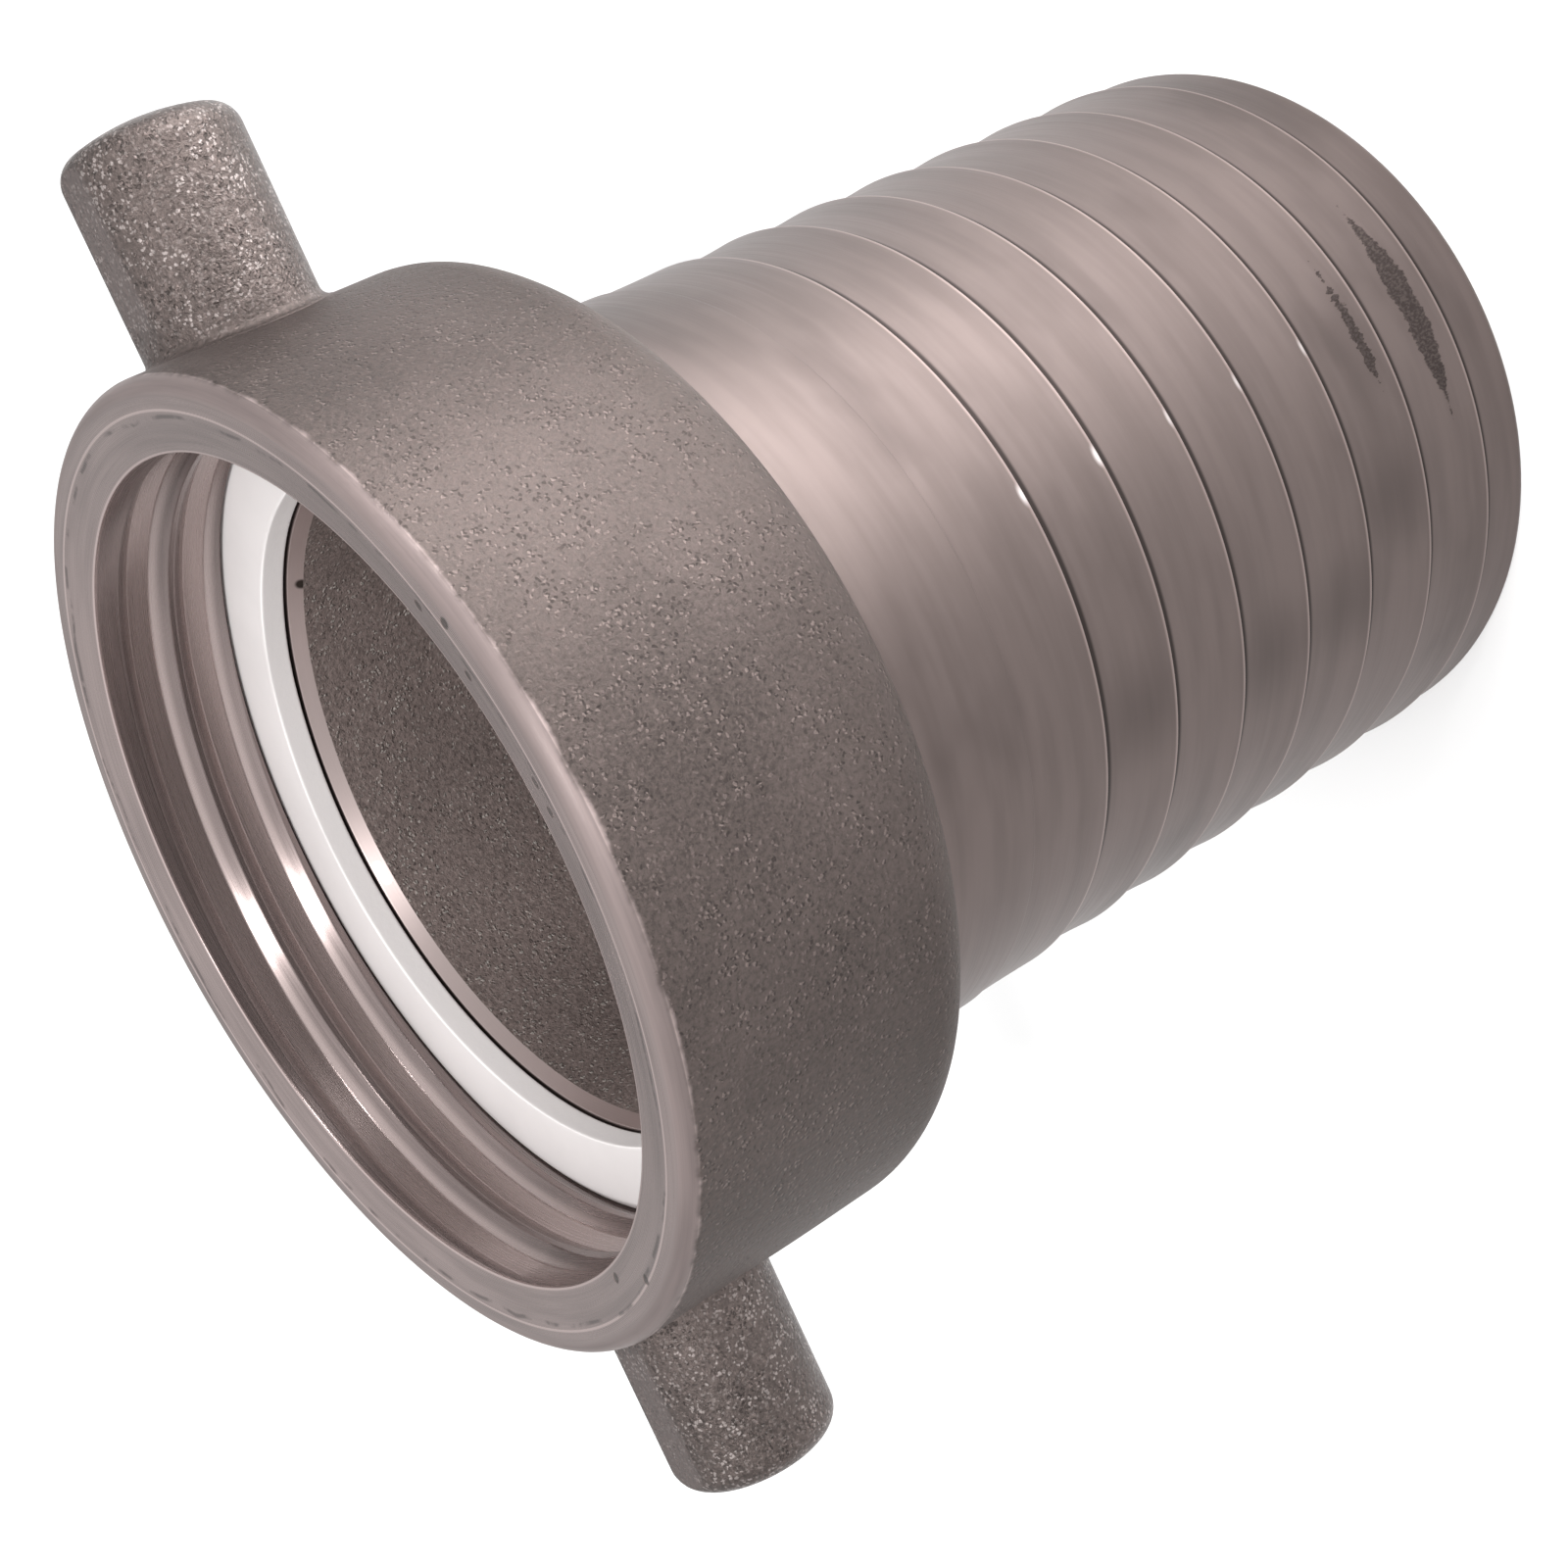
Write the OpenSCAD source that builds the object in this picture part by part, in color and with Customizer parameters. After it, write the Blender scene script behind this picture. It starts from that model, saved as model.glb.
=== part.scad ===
// Cap and tail hose coupling: a cast cap with two lugs and a coarse inside thread
// turns on the flange of a barbed hose tail, with a flat washer held behind the thread.
// The tail stands on its hose end, the mouth of the cap is up, and the lugs lie along X.

/* [Hose tail] */
// Diameter over the barb crests
barb_d = 76.5; // [66:0.1:96]
// Wall between the waterway and the barb crests
tail_wall = 5.2; // [3:0.1:9]
// Number of barbed bands
barb_count = 7; // [3:1:10]
// Length of one barbed band
barb_pitch = 9.5; // [6:0.1:14]
// Height of a barb crest over the foot of the next band
barb_step = 0.6; // [0.2:0.05:1.2]
// Length of the short band at the hose end
end_band = 6.3; // [4:0.1:12]
// Height of the faint first ridge on the collar
ridge_step = 0.2; // [0.1:0.05:0.6]
// Distance from the faint ridge to the flange
collar_l = 23.6; // [18:0.1:50]
// Thickness of the flange inside the cap
flange_t = 5.7; // [3.5:0.1:10]
// Radial width of the turned bevel at the front edge of the waterway
lip_w = 0.7; // [0.3:0.1:1.6]
// Depth of the turned bevel at the front edge of the waterway
lip_l = 1.4; // [0.5:0.1:3]
// Chamfer on both edges of the hose end
end_chamfer = 0.4; // [0.2:0.1:1.2]

/* [Swivel] */
// How much the neck inside the cap widens towards the flange
neck_rise = 0.2; // [0.05:0.05:1]
// How far behind the cap the neck begins to widen
neck_out = 0.5; // [0.2:0.1:2]
// Radial gap between the wide end of the neck and the hole in the back of the cap
neck_gap = 0.3; // [0.2:0.05:1]
// Radial width of the shoulder that the flange bears on
flange_lap = 0.9; // [0.6:0.05:2]
// Radial gap between the flange and the thread crests
flange_gap = 0.25; // [0.1:0.05:0.8]
// Axial play on each side of the flange
swivel_play = 0.3; // [0.1:0.05:0.8]

/* [Washer] */
// Thickness of the washer
washer_t = 2.6; // [1.5:0.1:5]
// How far the inner edge of the washer lies outside the bevel of the waterway
washer_set = 0.1; // [0:0.1:1.5]
// Radial gap round the washer
washer_gap = 0.3; // [0.1:0.05:0.8]
// Axial gap over the washer
washer_play = 0.4; // [0.1:0.05:1]

/* [Thread] */
// Distance between two turns of the thread
thread_pitch = 6.1; // [5:0.1:8]
// Depth of the thread groove
thread_depth = 1.1; // [0.6:0.05:2]
// Length of one sloping flank of the groove
thread_flank = 1.6; // [0.8:0.1:2]
// Flat along the crest between two turns
thread_crest = 0.6; // [0.4:0.05:1.2]
// Length of the threaded part, from the washer groove to the mouth
thread_l = 14.6; // [11:0.1:24]
// How much deeper the washer groove is than the thread groove
groove_relief = 0.2; // [0.1:0.05:1]
// Angle over which the thread groove fades out behind the rim
thread_fade = 60; // [30:5:120]
// Angle at which the thread groove ends, counted from one lug
thread_end = 231; // [0:1:359]

/* [Cap] */
// Wall outside the washer groove, at the mouth
cap_wall = 5.4; // [4:0.1:9]
// Thickness of the web at the back of the cap
web_t = 8; // [5:0.1:14]
// Slope of the cast outside, in degrees
cap_draft = 1.5; // [0:0.1:4]
// Radius of the cast edge at the back
back_round = 5.5; // [1:0.1:7]
// Bevel on the hole in the back of the cap
hole_bevel = 0.5; // [0.2:0.1:1]
// Radius of the outer edge of the rim
rim_round = 1.6; // [0.4:0.1:2]
// Width of the flat part of the rim
rim_land = 1.2; // [0.4:0.1:2]
// Height of the sloped inner part of the rim
rim_slope = 0.8; // [0.2:0.1:1.2]

/* [Lugs] */
// Diameter of the lugs
lug_d = 16.5; // [12:0.1:18]
// How far a lug stands out beyond the rim
lug_l = 19.9; // [12:0.1:35]
// Distance from the mouth to the middle of the lugs
lug_drop = 13.8; // [12.6:0.1:18]
// Radius of the domed tip of a lug
lug_dome_r = 22; // [14:0.5:60]
// Radius round the edge of the tip
lug_edge_r = 2.5; // [0.5:0.1:4]
// Radius of the fillet at the foot of a lug
lug_fillet = 1.8; // [0.5:0.1:3.5]
// Depth of the flat along the mouth side of a lug
lug_flat = 0.4; // [0.1:0.05:1]

/* [Hidden] */
$fn = 96;

// Points along each flared band, and rings of the thread cutter in one turn
band_steps = 5;
turn_rings = 60;
// How far a cutter reaches past the face that it cuts
over = 0.8;
// How far the thread cutter widens over the crest flat, as a share of the flat
crest_share = 0.35;

// Radii of the tail
barb_r = barb_d / 2;
foot_r = barb_r - barb_step;
way_r = barb_r - tail_wall;
neck_r = barb_r + neck_rise;
hole_r = neck_r + neck_gap;
flange_r = hole_r + flange_lap;

// Radii inside the cap
crest_r = flange_r + flange_gap;
root_r = crest_r + thread_depth;
groove_r = root_r + groove_relief;
washer_r = groove_r - washer_gap;
washer_in_r = way_r + lip_w + washer_set;

// Heights of the tail
first_crest_z = end_band + (barb_count - 1) * barb_pitch;
ridge_z = first_crest_z + barb_pitch;
flange_z = ridge_z + collar_l;
tail_top = flange_z + flange_t;

// Heights of the cap and the washer
shoulder_z = flange_z - swivel_play;
cap_z = shoulder_z - web_t;
washer_z = tail_top + swivel_play;
groove_top = washer_z + washer_t + washer_play;
mouth_z = groove_top + thread_l;
lug_z = mouth_z - lug_drop;

// Outside of the cap and the lugs
rim_r = groove_r + cap_wall;
lug_r = lug_d / 2;
lug_tip = rim_r + lug_l;

// Half widths of the thread groove at the crests and at its bottom; the cutter turns
// straight inwards a little past the crests, so that its own turns stay apart
crest_half = (thread_pitch - thread_crest) / 2;
root_half = crest_half - thread_flank;
cutter_half = crest_half + crest_share * thread_crest;
cutter_r = crest_r - crest_share * thread_crest * thread_depth / thread_flank;

// Points on an arc about [cx, cy], from angle a to angle b
function arc(cx, cy, r, a, b, steps = 8) =
    [for (i = [0:steps]) let (t = a + (b - a) * i / steps) [cx + r * cos(t), cy + r * sin(t)]];

// Radius of the cast wall of the cap at height z
function wall_r(z) = rim_r + (mouth_z - z) * tan(cap_draft);

// Points on an edge of radius r between the cast wall and a flat face, the middle of
// the edge at height z, from angle a to angle b
function wall_edge(r, z, a, b) = arc(wall_r(z) - r / cos(cap_draft), z, r, a, b);

// One band of the tail between heights z0 and z1: it is widest at its lower end and
// narrows upwards to radius r, with the step of the crest above it given
function band(z0, z1, r, step) =
    [for (i = [0:band_steps])
        let (z = z0 + (z1 - z0) * i / band_steps, d = min(1, (z1 - z) / barb_pitch))
            [r + step * d * d, z]];

module hose_tail() {
    color([0.66, 0.61, 0.60])
    rotate_extrude()
    polygon(concat(
        [[way_r + end_chamfer, 0], [foot_r, 0]],
        band(end_chamfer, end_band, foot_r, barb_step),
        [for (i = [0:barb_count - 2])
            each band(end_band + i * barb_pitch, end_band + (i + 1) * barb_pitch, foot_r, barb_step)],
        band(first_crest_z, ridge_z, barb_r - ridge_step, ridge_step),
        [[barb_r, ridge_z], [barb_r, cap_z - neck_out], [neck_r, flange_z]],
        [[flange_r, flange_z], [flange_r, tail_top]],
        [[way_r + lip_w, tail_top], [way_r, tail_top - lip_l], [way_r, end_chamfer]]
    ));
}

module sealing_washer() {
    color([0.91, 0.90, 0.90])
    translate([0, 0, washer_z])
    difference() {
        cylinder(h = washer_t, r = washer_r);
        translate([0, 0, -over])
        cylinder(h = washer_t + 2 * over, r = washer_in_r);
    }
}

// The cap as it is cast and turned, before the thread is cut
module cap_body() {
    rotate_extrude()
    polygon(concat(
        [[hole_r, cap_z + hole_bevel], [hole_r + hole_bevel, cap_z]],
        wall_edge(back_round, cap_z + back_round, -90, cap_draft),
        wall_edge(rim_round, mouth_z - rim_round, cap_draft, 90),
        [[rim_r - rim_round - rim_land, mouth_z], [crest_r, mouth_z - rim_slope]],
        [[crest_r, groove_top], [groove_r, groove_top], [groove_r, shoulder_z], [hole_r, shoulder_z]]
    ));
}

// Cutter for the thread: one groove that climbs to the right from the washer groove
// and, over its last part, rises out of the wall behind the rim
module thread_cutter() {
    low_z = groove_top - cutter_half;
    high_z = mouth_z - crest_half;
    sweep = 360 * (high_z - low_z) / thread_pitch;
    rings = ceil(turn_rings * sweep / 360);
    section = [
        [crest_r - over, -cutter_half], [crest_r - over, cutter_half], [cutter_r, cutter_half],
        [root_r, root_half], [root_r, -root_half], [cutter_r, -cutter_half]
    ];
    sides = len(section);
    function ring(back) =
        let (inset = (thread_depth + over / 2) * max(0, 1 - back / thread_fade), a = thread_end - back)
            [for (p = section) [
                (p[0] - inset) * cos(a),
                (p[0] - inset) * sin(a),
                p[1] + high_z - thread_pitch * back / 360
            ]];
    polyhedron(
        points = [for (i = [0:rings]) each ring(sweep * (1 - i / rings))],
        faces = concat(
            [[for (j = [sides - 1:-1:0]) j]],
            [for (i = [0:rings - 1], j = [0:sides - 1])
                let (a = i * sides + j, b = i * sides + (j + 1) % sides)
                    each [[a, a + sides, b], [b, a + sides, b + sides]]],
            [[for (j = [0:sides - 1]) rings * sides + j]]
        ),
        convexity = 10
    );
}

// A lug along X: round, with a domed tip, a fillet at its foot and a flat on top
module lug() {
    fillet_x = sqrt(rim_r ^ 2 - (lug_r + lug_fillet) ^ 2);
    edge_x = sqrt((lug_dome_r - lug_edge_r) ^ 2 - (lug_r - lug_edge_r) ^ 2);
    dome_a = atan2(edge_x, lug_r - lug_edge_r);
    translate([0, 0, lug_z])
    difference() {
        rotate([0, 90, 0])
        rotate_extrude()
        polygon(concat(
            [[0, (groove_r + rim_r) / 2], [lug_r + lug_fillet, (groove_r + rim_r) / 2]],
            arc(lug_r + lug_fillet, fillet_x + lug_fillet, lug_fillet, 270, 180),
            arc(lug_r - lug_edge_r, lug_tip - lug_dome_r + edge_x, lug_edge_r, 0, dome_a),
            arc(0, lug_tip - lug_dome_r, lug_dome_r, dome_a, 90)
        ));
        translate([fillet_x + lug_fillet, -lug_r, lug_r - lug_flat])
        cube([lug_l, lug_d, lug_r]);
    }
}

module cap() {
    color([0.55, 0.51, 0.49])
    difference() {
        union() {
            cap_body();
            lug();
            rotate([0, 0, 180]) lug();
        }
        thread_cutter();
    }
}

cap();
sealing_washer();
hose_tail();
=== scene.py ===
"""Looks of the cap and tail hose coupling: the cast and turned cap with its thread and lugs,
the banded hose tail, the off-white washer, and the pale stage that they stand on."""

import bpy
import numpy as np
from mathutils import Matrix, Vector


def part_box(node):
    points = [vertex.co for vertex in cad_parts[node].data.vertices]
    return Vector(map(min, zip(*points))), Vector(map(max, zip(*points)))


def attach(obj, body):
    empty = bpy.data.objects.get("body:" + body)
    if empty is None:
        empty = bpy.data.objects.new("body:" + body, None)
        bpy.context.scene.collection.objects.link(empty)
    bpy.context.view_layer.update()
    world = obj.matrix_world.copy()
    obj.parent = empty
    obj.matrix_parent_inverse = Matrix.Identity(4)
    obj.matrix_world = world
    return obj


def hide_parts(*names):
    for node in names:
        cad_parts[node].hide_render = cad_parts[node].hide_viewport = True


bl_info = {
    "name": "Hose Coupling Looks",
    "version": (1, 0, 0),
    "blender": (4, 5, 0),
    "location": "View3D > Sidebar > Coupling",
    "description": "Builds the surfaces, finishes and stage of a cap and tail hose coupling",
    "category": "Add Mesh",
}

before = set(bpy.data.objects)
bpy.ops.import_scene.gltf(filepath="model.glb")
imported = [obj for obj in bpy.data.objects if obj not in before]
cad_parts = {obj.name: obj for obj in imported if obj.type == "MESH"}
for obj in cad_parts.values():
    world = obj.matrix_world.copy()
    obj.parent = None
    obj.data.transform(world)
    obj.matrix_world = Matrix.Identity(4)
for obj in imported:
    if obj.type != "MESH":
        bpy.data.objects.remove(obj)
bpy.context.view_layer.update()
MM = 0.001


def low(node):
    """Lowest corner of a CAD node, in millimetres."""
    return np.array(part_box(node)[0]) / MM


def high(node):
    """Highest corner of a CAD node, in millimetres."""
    return np.array(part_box(node)[1]) / MM


# Sizes (mm) and angles that the solids have too. Heights are along Z, from the hose end.
MOUTH_Z, BACK_Z = high("cap")[2], low("cap")[2]
SHOULDER_Z, HOLE_R, HOLE_BEVEL = BACK_Z + 8, 38.75, 0.5
DRAFT, BACK_ROUND = np.radians(1.5), 5.5
RIM_ROUND, RIM_LAND, RIM_SLOPE = 1.6, 1.2, 0.8
GROOVE_TOP, GROOVE_DEPTH = high("sealing_washer")[2] + 0.4, 1.3
CREST_FLAT, FLANK, FADE_DEPTH = 0.6, 1.6, 1.5
THREAD_END, THREAD_FADE = np.radians(231), np.radians(60)
LUG_Z, LUG_TIP, LUG_FLAT = MOUTH_Z - 13.8, high("cap")[0], 0.4
LUG_EDGE_R, LUG_DOME_R = 2.5, 22.0
TAIL_TOP, FLANGE_R, FLANGE_Z = high("hose_tail")[2], high("hose_tail")[0], SHOULDER_Z + 0.3
END_BAND, BAND, BANDS = 6.3, 9.5, 7
RIDGE_Z, NECK_Z = END_BAND + BAND * BANDS, BACK_Z - 0.5
BAND_R, BAND_STEP, RIDGE_STEP, NECK_RISE = 38.25, 0.6, 0.2, 0.2
WAY_R, LIP_WIDTH, LIP_DEPTH, END_CHAMFER = 33.05, 0.7, 1.4, 0.4
WASHER_IN_R = 33.85

# The lugs' fillet is smaller than the solids' one, as the photo shows a nearly sharp foot
LUG_FILLET = 0.9

# Dark pits on the rim, in mm
RIM_PITS = [
    (20.8, -36.9, 119.7), (19.0, -40.1, 120.0), (14.8, -39.3, 119.7), (5.9, -42.0, 119.7),
    (3.5, -42.1, 119.7), (-37.5, -16.8, 119.5), (-36.9, -23.1, 119.9),
]
# Scuffs on the tail: middle height and half height in mm, middle angle and half angle in
# degrees, how much of the outline stays open, and how ragged it is
TAIL_SCUFFS = [(9.6, 1.5, -80.5, 17.5, 0.0, 0.8), (18.0, 0.75, -81.0, 12.0, 0.12, 1.9)]
# Middles of the soft patches of painted shade on the tail, in mm
TAIL_SHADE_PATCHES = [
    (-15.5, -34.8, 58.0), (-17.5, -33.8, 40.0), (-17.0, -34.0, 28.5), (-9.5, -36.8, 20.0),
]

PIT_TONE = (0.05, 0.04, 0.035)
# Tone of the painted glints on the lugs
LUG_GLINT_TONE = (0.62, 0.55, 0.53)
# Tone of the painted light that lightens the thread groove
GROOVE_PAINTED_LIGHT_TONE = (0.46, 0.375, 0.36)
# Small marks on the tail: their places in mm, tone, size in mm, hard core and flatness. They are a
# nick in the bevel, the painted glare on it, and the bright and the faint painted glints on the
# crests.
TAIL_NICK_GLARE_AND_GLINTS = [
    ([(24.9, 21.8, 100.9)], PIT_TONE, 0.8, 0.5, 1.0),
    ([(7.3, -37.55, 63.5), (7.3, -37.55, 54.0)], (0.6, 0.55, 0.54), 1.4, 0.0, 2.6),
    (
        [(-4.2, 33.2, 101.5), (-4.7, 33.1, 101.3), (-5.3, 33.0, 101.5), (-5.9, 32.9, 101.3)],
        (0.9, 0.86, 0.85), 0.6, 0.3, 1.0,
    ),
    (
        [(7.3, -37.55, 44.5), (7.3, -37.55, 35.0), (7.3, -37.55, 25.5)],
        (0.45, 0.41, 0.4), 1.3, 0.0, 4.0,
    ),
]


# Surfaces


def rounded(corners, radii, steps=4, guard=0.12, least_cut=0.005):
    """A profile of [radius, height] corners with each inner corner cut by a small arc.

    At a corner the arc touches both edges; its points are the quadratic curve through the
    two touching points with the corner as its control point. A guard point stands a little
    before and after each arc, so that smooth shading stays within the arc. Arcs and guards
    of two corners never meet, and a corner that would lose less than least_cut stays.
    """
    corners = np.asarray(corners, float)
    out = [corners[0]]
    for before, here, after, r in zip(corners, corners[1:], corners[2:], radii):
        a, b = before - here, after - here
        la, lb = np.linalg.norm(a), np.linalg.norm(b)
        a, b = a / la, b / lb
        half = np.arccos(np.clip(a @ b, -1, 1)) / 2
        cut = min(r / np.tan(half) if half > 0.01 else 0, 0.45 * la, 0.45 * lb)
        if cut < least_cut:
            out.append(here)
            continue
        reach = min(cut + guard, 0.49 * la, 0.49 * lb)
        t = np.linspace(0, 1, steps + 1)[:, None]
        start, end = here + a * cut, here + b * cut
        curve = (1 - t) ** 2 * start + 2 * t * (1 - t) * here + t**2 * end
        out += [here + a * reach, *curve, here + b * reach]
    out.append(corners[-1])
    return np.array(out)


def filled(profile, gap):
    """The same profile with points added so that no two are further apart than gap."""
    parts = [profile[:1]]
    for p, q in zip(profile, profile[1:]):
        n = max(1, int(np.ceil(np.linalg.norm(q - p) / gap)))
        parts.append(p + (q - p) * (np.arange(1, n + 1) / n)[:, None])
    return np.concatenate(parts)


def ring_faces(rows, columns, closed_rows=True):
    """Quads of a grid whose columns run round and close; its rows close too unless told not to."""
    i, j = np.meshgrid(
        np.arange(rows if closed_rows else rows - 1), np.arange(columns), indexing="ij"
    )
    k, m = (i + 1) % rows, (j + 1) % columns
    quads = np.stack([i * columns + j, i * columns + m, k * columns + m, k * columns + j], -1)
    return quads.reshape(-1, 4)


def new_piece(name, points, quads, along, materials, triangles=None, slots=None):
    """Puts points (in mm) and faces into a new mesh object, smooth shaded.

    along holds each point's distance along its profile in mm. It becomes the point
    attribute "turning", which the turned finishes read. slots gives each face's material.
    """
    mesh = bpy.data.meshes.new(name)
    faces = [quads.reshape(-1)]
    sizes = [np.full(len(quads), 4)]
    if triangles is not None:
        faces.append(triangles.reshape(-1))
        sizes.append(np.full(len(triangles), 3))
    loops, sizes = np.concatenate(faces), np.concatenate(sizes)
    mesh.vertices.add(len(points))
    mesh.vertices.foreach_set("co", (points * MM).astype(np.float32).reshape(-1))
    mesh.loops.add(len(loops))
    mesh.loops.foreach_set("vertex_index", loops.astype(np.int32))
    mesh.polygons.add(len(sizes))
    starts = np.concatenate([[0], np.cumsum(sizes)[:-1]])
    mesh.polygons.foreach_set("loop_start", starts.astype(np.int32))
    mesh.polygons.foreach_set("use_smooth", np.ones(len(sizes), bool))
    attribute = mesh.attributes.new("turning", "FLOAT", "POINT")
    attribute.data.foreach_set("value", along.astype(np.float32))
    for material in materials:
        mesh.materials.append(material)
    if slots is not None:
        mesh.polygons.foreach_set("material_index", slots.astype(np.int32))
    mesh.update(calc_edges=True)
    if mesh.validate():
        raise RuntimeError(f"{name} came out with faulty faces")
    piece = bpy.data.objects.new(name, mesh)
    bpy.context.scene.collection.objects.link(piece)
    return piece


def revolved(profile, columns, radius_at):
    """Points of a profile of [radius, height] turned once about Z, and their distances.

    The point of row i and column j is (r cos t, r sin t, z), where t is j steps of a turn,
    z the row's height and r is radius_at(row's radius, z, t).
    """
    shape = len(profile), columns
    t = np.broadcast_to(np.arange(columns) / columns * 2 * np.pi, shape)
    z = np.broadcast_to(profile[:, 1:], shape)
    r = radius_at(np.broadcast_to(profile[:, :1], shape), z, t)
    step = np.linalg.norm(np.diff(profile, axis=0), axis=1)
    along = np.repeat(np.concatenate([[0], np.cumsum(step)]), columns)
    return np.stack([r * np.cos(t), r * np.sin(t), z], -1).reshape(-1, 3), along


def ripple(t, z, seed, size):
    """A gentle unevenness of a cast wall: a sum of a few waves round and along the axis."""
    rng = np.random.default_rng(seed)
    total = np.zeros_like(t)
    for _ in range(9):
        turns, rise, phase = rng.integers(2, 13), rng.uniform(-0.35, 0.35), rng.uniform(0, 6.28)
        total += np.sin(turns * t + rise * z + phase) / (1 + 0.25 * turns)
    return total * size / 2


# Finishes


def shade(colour, factor):
    """A colour made lighter or darker by a factor."""
    return tuple(min(1.0, part * factor) for part in colour)


class Finish:
    """A node tree being wired: each call adds nodes and gives back the last one's output.

    Noise and grain scales are counts in a metre, and the limits of masks are in mm.
    """

    def __init__(self, name):
        self.material = bpy.data.materials.new(name)
        self.material.use_nodes = True
        self.tree = self.material.node_tree
        self.tree.nodes.clear()
        self.shader = self.tree.nodes.new("ShaderNodeBsdfPrincipled")
        output = self.tree.nodes.new("ShaderNodeOutputMaterial")
        self.tree.links.new(self.shader.outputs[0], output.inputs["Surface"])
        self.place = self.tree.nodes.new("ShaderNodeTexCoord").outputs["Object"]
        self.x, self.y, self.z = self.parts(self.place)

    def put(self, socket, value):
        """Links an output to a socket, or sets the socket to a plain value."""
        if isinstance(value, bpy.types.NodeSocket):
            self.tree.links.new(value, socket)
        else:
            socket.default_value = value

    def node(self, kind, inputs=(), output=0, **settings):
        """Adds a node with these settings and inputs, and gives back one of its outputs."""
        n = self.tree.nodes.new(kind)
        for key, value in settings.items():
            setattr(n, key, value)
        for key, value in dict(inputs).items():
            self.put(n.inputs[key], value)
        return n.outputs[output]

    def math(self, operation, *values):
        """A step of plain arithmetic."""
        return self.node("ShaderNodeMath", enumerate(values), operation=operation)

    def times(self, first, *others):
        """The product of two or more values."""
        for other in others:
            first = self.math("MULTIPLY", first, other)
        return first

    def most(self, first, *others):
        """The largest of two or more values."""
        for other in others:
            first = self.math("MAXIMUM", first, other)
        return first

    def plus(self, a, b):
        """The sum of two values."""
        return self.math("ADD", a, b)

    def minus(self, a, b):
        """The first value less the second."""
        return self.math("SUBTRACT", a, b)

    def centred(self, noise):
        """Noise less its mean, so that it runs to both sides of 0."""
        return self.minus(noise, 0.5)

    def vector(self, operation, *vectors, output="Vector"):
        """A step of vector arithmetic."""
        return self.node("ShaderNodeVectorMath", enumerate(vectors), output, operation=operation)

    def parts(self, vector):
        """The three parts of a vector or a colour."""
        return self.node("ShaderNodeSeparateXYZ", {0: vector}).node.outputs

    def scaled(self, vector, factor):
        """A vector with each part multiplied by the three factors."""
        inputs = {"Location": (0, 0, 0), "Scale": factor, "Vector": vector}
        return self.node("ShaderNodeMapping", inputs, vector_type="POINT")

    def noise(self, vector, scale, detail=2.0, roughness=0.5):
        """Smooth noise from 0 to 1."""
        inputs = {"Vector": vector, "Scale": scale, "Detail": detail, "Roughness": roughness}
        return self.node("ShaderNodeTexNoise", inputs)

    def between(self, value, low_end, high_end, start=0.0, end=1.0):
        """Value carried smoothly from low_end..high_end to start..end, and held there."""
        inputs = {0: value, 1: low_end, 2: high_end, 3: start, 4: end}
        return self.node("ShaderNodeMapRange", inputs, interpolation_type="SMOOTHSTEP")

    def above(self, value, limit, soft=0.1):
        """0 where value is below the limit, rising smoothly to 1 over the next soft mm."""
        return self.between(value, limit * MM, (limit + soft) * MM)

    def below(self, value, limit, soft=0.1):
        """1 where value is below the limit, falling smoothly to 0 over the next soft mm."""
        return self.between(value, limit * MM, (limit + soft) * MM, 1.0, 0.0)

    def near(self, value, middle, inner, outer):
        """1 where value is within inner of the middle, falling smoothly to 0 at outer."""
        gap = self.math("ABSOLUTE", self.minus(value, middle * MM))
        return self.below(gap, inner, outer - inner)

    def mix(self, factor, a, b):
        """Colour a where factor is 0, b where it is 1."""
        n = self.tree.nodes.new("ShaderNodeMix")
        n.data_type = "RGBA"
        self.put(n.inputs[0], factor)
        for socket, colour in ((n.inputs[6], a), (n.inputs[7], b)):
            self.put(socket, colour if isinstance(colour, bpy.types.NodeSocket) else (*colour, 1))
        return n.outputs[2]

    def blend(self, factor, a, b):
        """a where factor is 0, b where it is 1, for plain numbers."""
        return self.node("ShaderNodeMix", {0: factor, 2: a, 3: b}, data_type="FLOAT")

    def bump(self, height):
        """Makes the surface look raised by a height in mm."""
        inputs = {"Strength": 1.0, "Distance": MM, "Height": height}
        self.put(self.shader.inputs["Normal"], self.node("ShaderNodeBump", inputs))

    def finish(self, colour, roughness, metallic=1.0):
        """Hands over the material with its last sockets set."""
        self.put(self.shader.inputs["Base Color"], colour)
        self.put(self.shader.inputs["Roughness"], roughness)
        self.put(self.shader.inputs["Metallic"], metallic)
        return self.material

    def turned_gloss(self, amount):
        """Stretches the gloss across the turning lines, which run round Z."""
        tangent = self.node("ShaderNodeTangent", direction_type="RADIAL", axis="Z")
        self.put(self.shader.inputs["Tangent"], tangent)
        self.shader.inputs["Anisotropic Rotation"].default_value = 0.25
        self.shader.inputs["Anisotropic"].default_value = amount

    def radius(self):
        """Distance from the coupling's axis, in metres."""
        flat = self.node("ShaderNodeCombineXYZ", {0: self.x, 1: self.y, 2: 0.0})
        return self.vector("LENGTH", flat, output="Value")

    def lines(self, fineness, arc=0.03):
        """Turning lines: they change quickly along the profile, and over an arc (in m) round it."""
        along = self.node("ShaderNodeAttribute", attribute_name="turning", output="Fac")
        x, y, _ = self.parts(self.scaled(self.place, (1 / arc,) * 3))
        return self.node("ShaderNodeCombineXYZ", {0: x, 1: y, 2: self.times(along, fineness)})

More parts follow.
